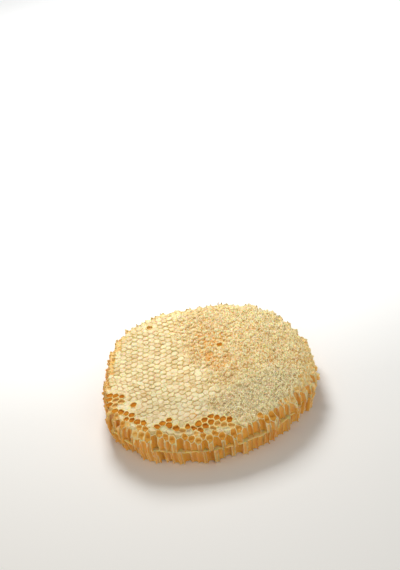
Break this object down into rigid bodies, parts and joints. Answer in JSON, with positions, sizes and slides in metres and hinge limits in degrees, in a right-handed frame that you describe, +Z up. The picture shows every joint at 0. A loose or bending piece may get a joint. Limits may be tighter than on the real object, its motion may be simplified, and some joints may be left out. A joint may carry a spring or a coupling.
{
  "type": "honeycomb piece",
  "caption": "Roundish slab of natural capped honeycomb, lying flat: wax cells full of honey under domed wax caps, with some open cells and a torn edge.",
  "frame": {"origin": "on the underside, in the middle of the piece's box", "axes": "+Z up through the capped face, +Y towards the cleanly broken back edge, +X towards the side where a broader strip is torn"},
  "size_m": [0.1781, 0.1717, 0.0343],
  "materials": {
    "wax": "pale cream beeswax cappings, soft satin, going orange where honey shows through",
    "honey": "clear amber honey, wet gloss, in the open and torn cells; used by the pieces that the visual model adds"
  },
  "bodies": {
    "root": {"honeycomb": "wax"}
  },
  "joints": []
}
